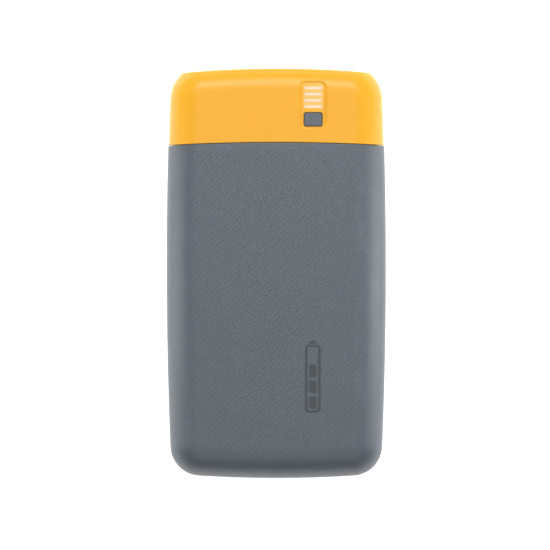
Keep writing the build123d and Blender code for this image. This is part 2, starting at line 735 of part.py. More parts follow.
# --- main board and what is soldered to it ------------------------------------------------------
with BuildPart() as main_board:
    with BuildSketch(Plane.XY.offset(BOARD_LOW)) as board_plan:
        with Locations((0, BOARD_FROM)):
            Rectangle(BOARD_WIDTH, BOARD_TO - BOARD_FROM, align=(Align.CENTER, Align.MIN))
        chamfer(board_plan.vertices().group_by(Axis.Y)[-1], BOARD_CORNER)
        with Locations(*screw_spots):
            Circle(SCREW_RADIUS + SCREW_CLEARANCE, mode=Mode.SUBTRACT)
        with Locations(*usb_a_legs(USB_A_X[0]), *usb_a_legs(USB_A_X[1])):
            Rectangle(PORT_WALL + LEG_HOLE, LEG_WIDTH + LEG_HOLE, mode=Mode.SUBTRACT)
    extrude(amount=BOARD_THICKNESS)


def chips_below(name, spots, width, length, height):
    """Flat packages soldered to the underside of the board."""
    with BuildPart() as chips:
        with BuildSketch(Plane.XY.offset(BOARD_LOW)):
            with Locations(*spots):
                Rectangle(width, length)
        extrude(amount=-height)
        chamfer(chips.edges().group_by(Axis.Z)[0], CHIP_EDGE)
    save(chips.part, name)


def chips_above(name, spots, width, length, height):
    """Flat packages soldered to the top of the board."""
    with BuildPart() as chips:
        with BuildSketch(Plane.XY.offset(BOARD_HIGH)):
            with Locations(*spots):
                Rectangle(width, length)
        extrude(amount=height)
        chamfer(chips.edges().group_by(Axis.Z)[-1], CHIP_EDGE)
    save(chips.part, name)


transistor_spots = [(x, TRANSISTORS_Y) for x in TRANSISTORS_X]
ceramic_spots = [(x, y) for x in CERAMICS_X for y in CERAMICS_Y]
resistor_spots = [(x, RESISTORS_Y) for x in RESISTORS_X]

save(main_board.part, "main_board")
chips_below("charge_controller", [CHARGE_CHIP_SPOT], *CHARGE_CHIP_SIZE)
chips_below("port_controller", [PORT_CHIP_SPOT], *SMALL_CHIP_SIZE)
chips_below("power_transistors", transistor_spots, *TRANSISTOR_SIZE)
chips_above("microcontroller", [LOGIC_CHIP_SPOT], *SMALL_CHIP_SIZE)
chips_above("ceramic_capacitors", ceramic_spots, *CERAMIC_SIZE)
chips_above("resistors", resistor_spots, *RESISTOR_SIZE)

with BuildPart() as power_inductor:
    with BuildSketch(Plane.XY.offset(BOARD_LOW)):
        with Locations(INDUCTOR_SPOT):
            RectangleRounded(INDUCTOR_SIZE, INDUCTOR_SIZE, INDUCTOR_CORNER)
    extrude(amount=-INDUCTOR_HEIGHT)
    chamfer(power_inductor.edges().group_by(Axis.Z)[0], CAN_EDGE)

with BuildPart() as bulk_capacitors:
    with BuildSketch(Plane.XY.offset(BOARD_LOW)):
        with Locations(*CAN_SPOTS):
            Rectangle(CAN_BASE, CAN_BASE)
    extrude(amount=-CAN_BASE_HEIGHT)
    with BuildSketch(Plane.XY.offset(BOARD_LOW - CAN_BASE_HEIGHT)):
        with Locations(*CAN_SPOTS):
            Circle(CAN_RADIUS)
    extrude(amount=-CAN_HEIGHT)
    fillet(bulk_capacitors.edges().group_by(Axis.Z)[0], CAN_EDGE)

save(power_inductor.part, "power_inductor")
save(bulk_capacitors.part, "bulk_capacitors")

with BuildPart() as battery_socket:
    with BuildSketch(Plane.XY.offset(BOARD_LOW)):
        with Locations((PLUG_X, SOCKET_Y)):
            Rectangle(
                PLUG_WIDTH + 2 * SOCKET_WALL, SOCKET_LENGTH, align=(Align.CENTER, Align.MIN)
            )
    extrude(amount=-SOCKET_HEIGHT)
    with BuildSketch(Plane.XZ.offset(-SOCKET_Y)):
        with Locations((PLUG_X, PLUG_Z)):
            Rectangle(PLUG_WIDTH + 2 * PLUG_FIT, PLUG_HEIGHT + 2 * PLUG_FIT)
    extrude(amount=SOCKET_BACK - SOCKET_LENGTH, mode=Mode.SUBTRACT)

with BuildPart() as battery_plug:
    with BuildSketch(Plane.XZ.offset(SOCKET_BACK - SOCKET_Y - SOCKET_LENGTH)):
        with Locations((PLUG_X, PLUG_Z)):
            RectangleRounded(PLUG_WIDTH, PLUG_HEIGHT, SMALL_CORNER)
    extrude(amount=PLUG_LENGTH)

save(battery_socket.part, "battery_socket")
save(battery_plug.part, "battery_plug")


# --- cells and their protection -------------------------------------------------------------------
def pouch_cell(low, name):
    """Pouch cell with folded side seams and a thin sealed ledge towards the board."""
    mid = low + CELL_THICKNESS / 2
    length = CELL_TO - CELL_FROM
    with BuildPart() as cell:
        with BuildSketch(Plane.XY.offset(low)):
            with Locations((0, CELL_FROM + length / 2)):
                RectangleRounded(CELL_WIDTH - 2 * CELL_SEAM, length, CELL_CORNER)
        extrude(amount=CELL_THICKNESS)
        rims = cell.edges().group_by(Axis.Z)[0] + cell.edges().group_by(Axis.Z)[-1]
        fillet(rims, CELL_EDGE)
        with BuildSketch(Plane.XY.offset(mid - CELL_SEAM_HEIGHT / 2)):
            with Locations((0, CELL_FROM + length / 2)):
                Rectangle(CELL_WIDTH, length - 2 * CELL_SEAM_HEIGHT)
        extrude(amount=CELL_SEAM_HEIGHT)
        with BuildSketch(Plane.XY.offset(mid - LEDGE_THICKNESS / 2)):
            with Locations((0, CELL_TO - ROOT)):
                Rectangle(
                    CELL_WIDTH - 2 * LEDGE_LENGTH,
                    LEDGE_LENGTH + ROOT,
                    align=(Align.CENTER, Align.MIN),
                )
        extrude(amount=LEDGE_THICKNESS)
    save(cell.part, name)


pouch_cell(CELL_FRONT_LOW, "cell_front")
pouch_cell(CELL_BACK_LOW, "cell_back")

cell_mids = [low + CELL_THICKNESS / 2 for low in (CELL_BACK_LOW, CELL_FRONT_LOW)]
tab_from = CELL_TO + LEDGE_LENGTH
with BuildPart() as cell_tabs:
    for mid in cell_mids:
        with BuildSketch(Plane.XY.offset(mid - TAB_THICKNESS / 2)):
            with Locations((-TAB_X, tab_from), (TAB_X, tab_from)):
                Rectangle(TAB_WIDTH, GUARD_FROM - tab_from, align=(Align.CENTER, Align.MIN))
        extrude(amount=TAB_THICKNESS)
        with BuildSketch(Plane.XY.offset(mid - TAB_THICKNESS / 2)):
            with Locations((-TAB_X, GUARD_FROM), (TAB_X, GUARD_FROM)):
                Rectangle(TAB_WIDTH, TAB_THICKNESS, align=(Align.CENTER, Align.MAX))
        extrude(amount=TAB_FOOT)

with BuildPart() as protection_board:
    with BuildSketch(Plane.XZ.offset(-GUARD_FROM)):
        with Locations((0, MID_Z)):
            RectangleRounded(GUARD_WIDTH, GUARD_HEIGHT, GUARD_CORNER)
    extrude(amount=-GUARD_THICKNESS)

with BuildPart() as protection_chips:
    with BuildSketch(Plane.XZ.offset(-GUARD_FROM - GUARD_THICKNESS)):
        with Locations(*[(x, MID_Z - 1) for x in GUARD_CHIPS_X]):
            Rectangle(GUARD_CHIP, GUARD_CHIP)
    extrude(amount=-GUARD_CHIP_HEIGHT)

with BuildPart() as thermistor:
    with Locations((BEAD_X, BEAD_Y, BEAD_Z)):
        Sphere(BEAD_RADIUS)
    with BuildSketch(Plane.XZ.offset(-BEAD_Y)):
        with Locations((BEAD_X - BEAD_WIRE_X, BEAD_Z), (BEAD_X + BEAD_WIRE_X, BEAD_Z)):
            Circle(BEAD_WIRE)
    extrude(amount=BEAD_Y - GUARD_FROM)

save(cell_tabs.part, "cell_tabs")
save(protection_board.part, "protection_board")
save(protection_chips.part, "protection_chips")
save(thermistor.part, "thermistor")


plug_end = SOCKET_Y + SOCKET_LENGTH - SOCKET_BACK - PLUG_LENGTH


def battery_lead(side, name):
    """Insulated lead from the plug to the protection board, with one easy bend each way."""
    start = (PLUG_X + side * LEAD_PITCH / 2, plug_end, PLUG_Z)
    finish = (PLUG_X + side * LEAD_SPREAD / 2, GUARD_FROM + GUARD_THICKNESS, LEAD_LOW_Z)
    way_out = (start[0], start[1] - LEAD_RUN, start[2])
    way_in = (finish[0], finish[1] + LEAD_RUN, finish[2])
    with BuildPart() as lead:
        with BuildLine() as route:
            FilletPolyline(start, way_out, way_in, finish, radius=LEAD_BEND)
        with BuildSketch(Plane(origin=start, z_dir=(0, -1, 0))):
            Circle(LEAD_RADIUS)
        sweep(path=route.wires()[0])
    save(lead.part, name)


battery_lead(-1, "lead_positive")
battery_lead(1, "lead_negative")


# --- foam and tape ----------------------------------------------------------------------------------
def soft_pad(name, low, high, width, length, centre_y):
    """Die-cut pad that fills the gap from low to high."""
    with BuildPart() as pad:
        with BuildSketch(Plane.XY.offset(low)):
            with Locations((0, centre_y)):
                RectangleRounded(width, length, PAD_CORNER)
        extrude(amount=high - low)
    save(pad.part, name)


cell_back_high = CELL_BACK_LOW + CELL_THICKNESS
cell_front_high = CELL_FRONT_LOW + CELL_THICKNESS
tail_pad_y = CELL_FROM - TAIL_PAD_LENGTH / 2

soft_pad("cell_tape", cell_back_high, CELL_FRONT_LOW, PAD_WIDTH, PAD_LENGTH, PAD_Y)
soft_pad("foam_pad_back", WALL, CELL_BACK_LOW, PAD_WIDTH, PAD_LENGTH, PAD_Y)
soft_pad("foam_pad_front", cell_front_high, THICKNESS - WALL, PAD_WIDTH, PAD_LENGTH, PAD_Y)
soft_pad(
    "foam_tail",
    MID_Z - TAIL_PAD_HALF,
    MID_Z + TAIL_PAD_HALF,
    TAIL_PAD_WIDTH,
    TAIL_PAD_LENGTH,
    tail_pad_y,
)
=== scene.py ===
"""Looks of the power bank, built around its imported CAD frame. Metres, same frame as the CAD.

Sizes of the shell, the ridges, the dome and the mark are in mm, and MM turns them into metres.
"""

import json
import math

import bmesh
import bpy
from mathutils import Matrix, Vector
from mathutils.bvhtree import BVHTree


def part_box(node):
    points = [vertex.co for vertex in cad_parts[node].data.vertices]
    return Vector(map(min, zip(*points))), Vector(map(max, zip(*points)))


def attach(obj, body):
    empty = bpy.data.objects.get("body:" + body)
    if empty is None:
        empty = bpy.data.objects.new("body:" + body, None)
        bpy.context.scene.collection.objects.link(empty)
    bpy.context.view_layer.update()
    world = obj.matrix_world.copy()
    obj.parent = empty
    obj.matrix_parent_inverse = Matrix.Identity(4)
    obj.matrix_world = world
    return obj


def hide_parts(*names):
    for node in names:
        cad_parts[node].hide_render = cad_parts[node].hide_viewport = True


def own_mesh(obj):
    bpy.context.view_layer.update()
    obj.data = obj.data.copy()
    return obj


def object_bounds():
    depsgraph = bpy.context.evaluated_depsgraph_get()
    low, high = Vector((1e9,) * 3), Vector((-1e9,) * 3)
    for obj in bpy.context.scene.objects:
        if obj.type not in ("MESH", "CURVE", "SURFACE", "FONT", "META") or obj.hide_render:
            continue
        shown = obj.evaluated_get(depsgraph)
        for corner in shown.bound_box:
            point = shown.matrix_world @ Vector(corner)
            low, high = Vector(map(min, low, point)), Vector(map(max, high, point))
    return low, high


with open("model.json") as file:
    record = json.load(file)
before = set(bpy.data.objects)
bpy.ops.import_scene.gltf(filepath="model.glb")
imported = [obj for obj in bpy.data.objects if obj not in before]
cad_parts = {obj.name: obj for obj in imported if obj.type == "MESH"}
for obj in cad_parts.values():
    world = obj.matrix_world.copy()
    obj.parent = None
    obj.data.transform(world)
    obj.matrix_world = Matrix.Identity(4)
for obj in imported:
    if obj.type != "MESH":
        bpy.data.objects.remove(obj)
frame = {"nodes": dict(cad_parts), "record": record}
cad_low, cad_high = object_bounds()

MM = 0.001
WHITE = (1, 1, 1, 1)

# --- shell surface, as the CAD shapes it ----------------------------------------------------
HALF_WIDTH = (cad_high.x - cad_low.x) / 2 / MM
HALF_LENGTH = (cad_high.y - cad_low.y) / 2 / MM
THICKNESS = (cad_high.z - cad_low.z) / MM
SIDE_RADIUS = 1436.0
WIDEST_Y = 2.6
TAIL_RADIUS = 398.0
TAIL_CORNER = 9.8
RIM_RADIUS = 9.5
SEAM_Y = 42.25
SEAM_RADIUS = 620.0


def side_distance(x, y):
    """Distance in mm from a plan point to the nearer long side, positive inside."""
    return SIDE_RADIUS - math.hypot(abs(x) + SIDE_RADIUS - HALF_WIDTH, y - WIDEST_Y)


def tail_distance(x, y):
    """Distance in mm from a plan point to the tail end, positive inside."""
    return TAIL_RADIUS - math.hypot(x, y - TAIL_RADIUS + HALF_LENGTH)


def seam_distance(x, y):
    """Distance in mm from a plan point to the arched seam, positive on the body's side."""
    return SEAM_RADIUS - math.hypot(x, y - SEAM_Y + SEAM_RADIUS)


def corner_distance(side, tail, radius):
    """Distance to the nearer of two edges that meet in a rounded corner."""
    if side < radius and tail < radius:
        return radius - math.hypot(radius - side, radius - tail)
    return min(side, tail)


def depth_inside(x, y):
    """Distance in mm from a plan point to the body's outline, positive inside."""
    return corner_distance(side_distance(x, y), tail_distance(x, y), TAIL_CORNER)


# --- mesh helpers ----------------------------------------------------------------------------
def add_object(name, data):
    """New object of the scene that shows a mesh, a light or a camera."""
    piece = bpy.data.objects.new(name, data)
    bpy.context.scene.collection.objects.link(piece)
    return piece


def mesh_from(name, bm):
    """Mesh made of a bmesh, which is freed."""
    mesh = bpy.data.meshes.new(name)
    bm.to_mesh(mesh)
    bm.free()
    return mesh


def smooth(mesh):
    """Shade every face of the mesh smoothly."""
    for polygon in mesh.polygons:
        polygon.use_smooth = True


def make_piece(name, mesh, body, look):
    """Piece that shows a mesh and rides on a CAD body."""
    mesh.materials.append(look.material)
    piece = add_object(name, mesh)
    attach(piece, body)
    return piece


# --- raised diagonal ridges -------------------------------------------------------------------
RIDGE_PITCH = 1.33 / 2
RIDGE_WIDTH = 0.5
RIDGE_TALL = 0.076
RIDGE_LOW = 0.03
RIDGE_SINK = 0.05
RIDGE_DIP = 0.02
RIDGE_STEP = 0.6
RIDGE_REACH = 1.5 * HALF_LENGTH
DIAGONAL = math.sqrt(0.5)
PANEL_INSET = 4.6
PANEL_FROM_SEAM = 0.9
PANEL_CORNER = 8.0
PANEL_FADE = 2.2
SEAM_FADE_RATE = 2

# across in ridge widths, then up: in ridge heights above the face, in sinks below it
RIDGE_SECTION = [(-0.5, -1.0), (-0.28, 0.55), (0.0, 1.0), (0.28, 0.55), (0.5, -1.0)]


def panel_depth(x, y):
    """Distance in mm inside the textured panel's edge, negative outside it."""
    side = side_distance(x, y) - PANEL_INSET
    tail = tail_distance(x, y) - PANEL_INSET
    seam = seam_distance(x, y) - PANEL_FROM_SEAM
    return min(corner_distance(side, tail, PANEL_CORNER), seam * SEAM_FADE_RATE)


def is_plain(x, y):
    """True where the face is flat and a ridge has its full height, so that it runs straight."""
    margin = 2 * RIDGE_STEP
    flat = depth_inside(x, y) > RIM_RADIUS + margin
    return flat and panel_depth(x, y) > PANEL_FADE + margin


def thinned(run):
    """The run without the points that lie on a straight stretch between plain neighbours."""
    inner = [
        point
        for before, point, after in zip(run, run[1:], run[2:])
        if not (is_plain(*before) and is_plain(*point) and is_plain(*after))
    ]
    return [run[0], *inner, run[-1]]


def ridge_runs(offset):
    """Stretches inside the panel of one 45 degree line, as lists of plan points."""
    count = int(2 * RIDGE_REACH / RIDGE_STEP)
    run = []
    for index in range(count + 1):
        along = -RIDGE_REACH + index * RIDGE_STEP
        x = (along - offset) * DIAGONAL
        y = (along + offset) * DIAGONAL
        if panel_depth(x, y) > 0:
            run.append((x, y))
            continue
        if len(run) > 1:
            yield thinned(run)
        run = []


def shell_tree(node):
    """Search tree over the triangles of a packed shell."""
    mesh = frame["nodes"][node].data
    points = [vertex.co for vertex in mesh.vertices]
    return BVHTree.FromPolygons(points, [list(polygon.vertices) for polygon in mesh.polygons])


def shell_height(tree, sign, x, y):
    """Height in mm of a packed shell's outer face over a plan point, so that ridges rest on it."""
    start = Vector((x * sign, y, sign * 2 * THICKNESS)) * MM
    place = tree.ray_cast(start, Vector((0, 0, -sign)))[0]
    return place.z / MM if sign > 0 else THICKNESS - place.z / MM


def ridge_points(run, height, sign, tree):
    """Points of one ridge: its section at every point of the run, resting on the shell."""
    points = []
    for x, y in run:
        fade = min(1.0, panel_depth(x, y) / PANEL_FADE)
        for shift, rise in RIDGE_SECTION:
            px = x - shift * RIDGE_WIDTH * DIAGONAL
            py = y + shift * RIDGE_WIDTH * DIAGONAL
            proud = rise * height * fade - RIDGE_DIP * (1 - fade)
            lift = proud if rise > 0 else rise * RIDGE_SINK
            z = shell_height(tree, sign, px, py) + lift
            points.append((px * sign, py, z if sign > 0 else THICKNESS - z))
    return points


def ridge_faces(first, count):
    """Faces of one closed ridge of count sections, whose points start at number first."""
    size = len(RIDGE_SECTION)
    faces = []
    for index in range(count - 1):
        here = first + index * size
        for side in range(size):
            turn = (side + 1) % size
            faces.append((here + side, here + size + side, here + size + turn, here + turn))
    last = first + (count - 1) * size
    faces.append(tuple(first + side for side in range(size)))
    faces.append(tuple(last + side for side in reversed(range(size))))
    return faces


def ridges(name, sign, shell):
    """All ridges on the front (sign 1) or back (sign -1) face, tall and low in turn, as one piece."""
    tree = shell_tree(shell)
    points = []
    faces = []
    lines = int(RIDGE_REACH / RIDGE_PITCH)
    for line in range(-lines, lines + 1):
        height = RIDGE_TALL if line % 2 == 0 else RIDGE_LOW
        for run in ridge_runs(line * RIDGE_PITCH):
            faces += ridge_faces(len(points), len(run))
            points += ridge_points(run, height, sign, tree)
    mesh = bpy.data.meshes.new(name)
    mesh.from_pydata([Vector(point) * MM for point in points], [], faces)
    mesh.validate()
    smooth(mesh)
    # ridges in the shell's grey, lighter by a painted highlight
    make_piece(name, mesh, "casing", GREY_RIDGE_PAINTED_HIGHLIGHT)


# --- materials -----------------------------------------------------------------------------------
# the Mix node's sockets for colours
MIX_FIRST = 6
MIX_SECOND = 7
MIX_RESULT = 2


class Look:
    """A Principled material that is being built node by node, in object coordinates."""

    def __init__(self, name):
        self.name = name
        self.material = bpy.data.materials.new(name)
        self.material.use_nodes = True
        self.nodes = self.material.node_tree.nodes
        self.links = self.material.node_tree.links
        self.shader = next(n for n in self.nodes if n.type == "BSDF_PRINCIPLED")
        self.place = self.nodes.new("ShaderNodeTexCoord").outputs["Object"]

    def set(self, **values):
        """Set shader sockets, with underscores for the spaces in their names."""
        for key, value in values.items():
            self.shader.inputs[key.replace("_", " ")].default_value = value
        return self

    def noise(self, size_mm, detail=2.0, rough=0.5, stretch=(1, 1, 1)):
        """Noise between 0 and 1 whose features are about size_mm across."""
        mapping = self.nodes.new("ShaderNodeMapping")
        mapping.inputs["Scale"].default_value = stretch
        self.links.new(self.place, mapping.inputs["Vector"])
        texture = self.nodes.new("ShaderNodeTexNoise")
        texture.inputs["Scale"].default_value = 1 / (size_mm * MM)
        texture.inputs["Detail"].default_value = detail
        texture.inputs["Roughness"].default_value = rough
        self.links.new(mapping.outputs["Vector"], texture.inputs["Vector"])
        return texture.outputs["Fac"]

    def ramp(self, source, low, high, from_low=0.3, from_high=0.7):
        """Source mapped to low..high, from the usual range of a noise unless another is given."""
        mapper = self.nodes.new("ShaderNodeMapRange")
        mapper.inputs["From Min"].default_value = from_low
        mapper.inputs["From Max"].default_value = from_high
        mapper.inputs["To Min"].default_value = low
        mapper.inputs["To Max"].default_value = high
        self.links.new(source, mapper.inputs["Value"])
        return mapper.outputs["Result"]

    def mix(self, factor, first, second):
        """Blend of two colours."""
        node = self.nodes.new("ShaderNodeMix")
        node.data_type = "RGBA"
        self.links.new(factor, node.inputs["Factor"])
        node.inputs[MIX_FIRST].default_value = (*first, 1)
        node.inputs[MIX_SECOND].default_value = (*second, 1)
        return node.outputs[MIX_RESULT]

    def math(self, operation, first, second=0.0):
        """One arithmetic node; first and second are numbers or sockets."""
        node = self.nodes.new("ShaderNodeMath")
        node.operation = operation
        for socket, value in zip(node.inputs, (first, second)):
            if isinstance(value, bpy.types.NodeSocket):
                self.links.new(value, socket)
            else:
                socket.default_value = value
        return node.outputs[0]

    def off_centre(self, axis, low, high):
        """Distance in metres along one axis from the middle between two places."""
        return self.math("ABSOLUTE", self.math("SUBTRACT", self.coordinate(axis), (low + high) / 2))

    def coordinate(self, axis):
        """Object coordinate along one axis, in metres."""
        node = self.nodes.new("ShaderNodeSeparateXYZ")
        self.links.new(self.place, node.inputs["Vector"])
        return node.outputs[axis]

    def colour(self, socket):
        """Take the base colour from a socket."""
        self.links.new(socket, self.shader.inputs["Base Color"])

    def roughness(self, socket):
        """Take the roughness from a socket."""
        self.links.new(socket, self.shader.inputs["Roughness"])

    def glow(self, socket):
        """Take the strength of the emission from a socket."""
        self.links.new(socket, self.shader.inputs["Emission Strength"])

    def bump(self, height, depth_mm):
        """Bump the surface by a height socket whose full swing is depth_mm."""
        node = self.nodes.new("ShaderNodeBump")
        node.inputs["Distance"].default_value = depth_mm * MM
        self.links.new(height, node.inputs["Height"])
        self.links.new(node.outputs["Normal"], self.shader.inputs["Normal"])


def shade(colour, factor):
    """The colour, lighter or darker by a factor."""
    return tuple(channel * factor for channel in colour)


def moulded(name, colour, rough, grain_mm=0.22, grain_depth=0.012, mottle=0.02, speckle=0.02):
    """Spark-eroded moulded plastic: fine grain and speckle, slight mottling and uneven gloss."""
    look = Look(name)
    cloud = look.ramp(look.noise(size_mm=9.0, detail=3.0), low=-mottle, high=mottle)
    specks = look.ramp(look.noise(size_mm=0.35, detail=1.0), low=-speckle, high=speckle)
    grain = look.noise(size_mm=grain_mm, rough=0.6)
    limit = mottle + speckle
    tone = look.ramp(look.math("ADD", cloud, specks), low=0, high=1, from_low=-limit, from_high=limit)
    look.colour(look.mix(tone, shade(colour, 1 - limit), shade(colour, 1 + limit)))
    patch = look.ramp(look.noise(size_mm=3.5), low=rough - 0.03, high=rough + 0.03)
    look.roughness(look.math("ADD", patch, look.ramp(grain, low=-0.04, high=0.04)))
    look.bump(grain, depth_mm=grain_depth)
    return look


def metal(name, colour, rough):
    """Stamped sheet metal with faint rolling lines."""
    look = Look(name)
    lines = look.noise(size_mm=1.2, detail=3.0, stretch=(1, 12, 1))
    look.colour(look.mix(look.ramp(lines, low=0, high=1), shade(colour, 0.92), colour))
    look.roughness(look.ramp(lines, low=rough - 0.06, high=rough + 0.08))
    look.bump(lines, depth_mm=0.004)
    look.set(Metallic=1.0)
    return look


def laminate(name, colour):
    """Solder-masked laminate with the weave of its glass cloth showing faintly."""
    look = Look(name)
    warp = look.noise(size_mm=0.5, stretch=(4, 1, 1))
    weft = look.noise(size_mm=0.5, stretch=(1, 4, 1))
    cloth = look.math("MAXIMUM", warp, weft)
    look.colour(look.mix(look.ramp(cloth, low=0, high=1), shade(colour, 0.8), shade(colour, 1.25)))
    look.roughness(look.ramp(look.noise(size_mm=2.0), low=0.28, high=0.4))
    look.bump(cloth, depth_mm=0.01)
    return look


def foil(name, colour):
    """Pouch foil: nylon-faced aluminium with shallow wrinkles."""
    look = Look(name)
    wrinkle = look.noise(size_mm=14.0, detail=4.0)
    look.colour(look.mix(look.ramp(wrinkle, low=0, high=1), shade(colour, 0.9), colour))
    look.roughness(look.ramp(look.noise(size_mm=4.0), low=0.3, high=0.45))
    look.bump(wrinkle, depth_mm=0.3)
    look.set(Metallic=0.8)
    return look


def foam(name, colour, cell_mm=0.6):
    """Open-cell foam, with painted shade in its pores and lighter cell walls."""
    look = Look(name)
    texture = look.nodes.new("ShaderNodeTexVoronoi")
    texture.inputs["Scale"].default_value = 1 / (cell_mm * MM)
    look.links.new(look.place, texture.inputs["Vector"])
    cells = texture.outputs["Distance"]
    # painted shade: pores darker and cell walls lighter, following the cells' bump
    pore_shade_and_wall_light = look.ramp(cells, low=0, high=1, from_low=0.1, from_high=0.6)
    look.colour(look.mix(pore_shade_and_wall_light, shade(colour, 0.5), shade(colour, 1.5)))
    look.roughness(look.ramp(look.noise(size_mm=2.0), low=0.85, high=0.95))
    look.bump(cells, depth_mm=0.15)
    return look


GREY = (0.092, 0.114, 0.134)
ORANGE = (0.92, 0.445, 0.031)
MARK_GREY = (0.055, 0.064, 0.072)
GREY_GLOSS = 0.75
CAP_GLOSS = 0.28

# light bars: their glow, and in mm how far from a bar's middle it starts and stops fading
BAR_COLOUR = (0.2, 0.17, 0.13, 1)
BAR_LIGHT = (1.0, 0.80, 0.62, 1)
BAR_GLOW = 0.75
BAR_END_SHARE = 0.82
BAR_FADE_START = 1.5
BAR_FADE_STOP = 3.0

# painted glow of the cap around the field of light bars, with the field's size and the glow's reach
# in mm
BARS_WIDE = 5.5
BARS_LONG = 6.6
HALO_GLOW = 0.13
HALO_REACH = 0.8

GREY_SHELL = moulded("grey_shell", GREY, 0.46, speckle=0.08).set(Specular_IOR_Level=GREY_GLOSS)
# the ridges' plastic is the shell's grey made 5% lighter: a painted highlight on the raised lines
GREY_RIDGE_PAINTED_HIGHLIGHT = moulded("grey_ridge_painted_highlight", shade(GREY, 1.05), 0.42, speckle=0.08)
GREY_RIDGE_PAINTED_HIGHLIGHT.set(Specular_IOR_Level=GREY_GLOSS)
BUTTON = moulded("grey_button", shade(GREY, 1.05), 0.5, grain_mm=0.15)
BUTTON.set(Specular_IOR_Level=GREY_GLOSS)
MARK = moulded("printed_mark", MARK_GREY, 0.42, grain_depth=0.004)


def lit_cap():
    """Orange shell plastic with a painted glow close around the light bars, where the lamps shine
    through it faintly.
    """
    look = moulded("orange_shell", ORANGE, 0.25, grain_depth=0.008, mottle=0.01)
    look.set(Specular_IOR_Level=CAP_GLOSS, Emission_Color=WHITE)
    low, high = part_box("light_guide")
    beyond_x = look.math("SUBTRACT", look.off_centre("X", low.x, high.x), BARS_WIDE * MM / 2)
    beyond_y = look.math("SUBTRACT", look.off_centre("Y", low.y, high.y), BARS_LONG * MM / 2)
    beyond = look.math("MAXIMUM", beyond_x, beyond_y)
    halo = look.ramp(beyond, low=HALO_GLOW, high=0.0, from_low=0.0, from_high=HALO_REACH * MM)
    height = THICKNESS * MM
    front = look.ramp(look.coordinate("Z"), 0.0, 1.0, from_low=height / 2, from_high=height * 3 / 4)
    # painted glow: emission of the cap near the bars, on its front half only
    look.glow(look.math("MULTIPLY", halo, front))
    return look


def lit_bar():
    """Frosted light bar, brightest where its lamp stands behind the middle."""
    look = Look("lit_guide")
    low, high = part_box("light_guide")
    offset = look.off_centre("X", low.x, high.x)
    falloff = look.ramp(offset, 1.0, BAR_END_SHARE, BAR_FADE_START * MM, BAR_FADE_STOP * MM)
    frost = look.ramp(look.noise(size_mm=0.4), low=0.97, high=1.03)
    look.set(Emission_Color=BAR_LIGHT, Base_Color=BAR_COLOUR)
    look.glow(look.math("MULTIPLY", look.math("MULTIPLY", falloff, frost), BAR_GLOW))
    look.roughness(look.ramp(look.noise(size_mm=0.6), low=0.35, high=0.45))
    return look


# every material slot of the record, under its own name
LOOKS = [
    GREY_SHELL,
    lit_cap(),
    BUTTON,
    lit_bar(),
    metal("zinc_screw", (0.6, 0.6, 0.62), 0.35),
    metal("bright_steel", (0.66, 0.66, 0.65), 0.28),
    metal("gold_contact", (0.9, 0.66, 0.28), 0.22),
    metal("nickel_tab", (0.66, 0.62, 0.55), 0.32),
    metal("can_aluminium", (0.8, 0.8, 0.8), 0.3),
    moulded("led_package", (0.85, 0.82, 0.7), 0.3, grain_mm=0.1, grain_depth=0.003),
    moulded("black_nylon", (0.02, 0.02, 0.022), 0.5),
    moulded("white_nylon", (0.75, 0.72, 0.65), 0.45),
    moulded("port_insulator", (0.03, 0.03, 0.033), 0.5),
    moulded("chip_resin", (0.025, 0.025, 0.027), 0.6, grain_mm=0.1, grain_depth=0.01),
    moulded("capacitor_ceramic", (0.4, 0.28, 0.18), 0.4, grain_mm=0.1, grain_depth=0.004),
    moulded("ferrite_core", (0.07, 0.07, 0.075), 0.6, grain_mm=0.15, grain_depth=0.02),
    moulded("red_lead", (0.5, 0.02, 0.015), 0.4, grain_mm=0.3, grain_depth=0.004),
    moulded("black_lead", (0.015, 0.015, 0.015), 0.4, grain_mm=0.3, grain_depth=0.004),
    moulded("adhesive_tape", (0.7, 0.66, 0.55), 0.5, grain_mm=0.3, grain_depth=0.01),
    laminate("board_laminate", (0.01, 0.08, 0.035)),
    foil("pouch_foil", (0.7, 0.71, 0.73)),
    foam("black_foam", (0.03, 0.03, 0.03)),
]
SLOT_LOOKS = {look.name: look for look in LOOKS}

for part in frame["record"]["subparts"]:
    node = frame["nodes"][part["node"]]
    node.data.materials.clear()
    node.data.materials.append(SLOT_LOOKS[part["material_slot"]].material)

ridges("ridges_front", 1, "front_cover")
ridges("ridges_back", -1, "back_cover")


# --- snap dome of the switch -------------------------------------------------------------------
DOME_SHEET = 0.12
DOME_RINGS = 10
DOME_TURNS = 48


def dome_shell(bm, centre, radius, low_z):
    """Spherical cap above low_z; returns the vertices of its rim."""
    widest = math.acos((low_z - centre.z) / radius)
    rings = []
    for step in range(DOME_RINGS):
        tilt = widest * (1 - step / DOME_RINGS)
        reach = math.sin(tilt)
        ring = []
        for index in range(DOME_TURNS):
            turn = 2 * math.pi * index / DOME_TURNS
            way = Vector((reach * math.cos(turn), reach * math.sin(turn), math.cos(tilt)))
            ring.append(bm.verts.new(centre + radius * way))
        rings.append(ring)
    pole = bm.verts.new(centre + Vector((0, 0, radius)))
    for i in range(DOME_TURNS):
        j = (i + 1) % DOME_TURNS
        for ring, above in zip(rings, rings[1:]):
            bm.faces.new((ring[i], ring[j], above[j], above[i]))
        bm.faces.new((rings[-1][i], rings[-1][j], pole))
    return rings[0]


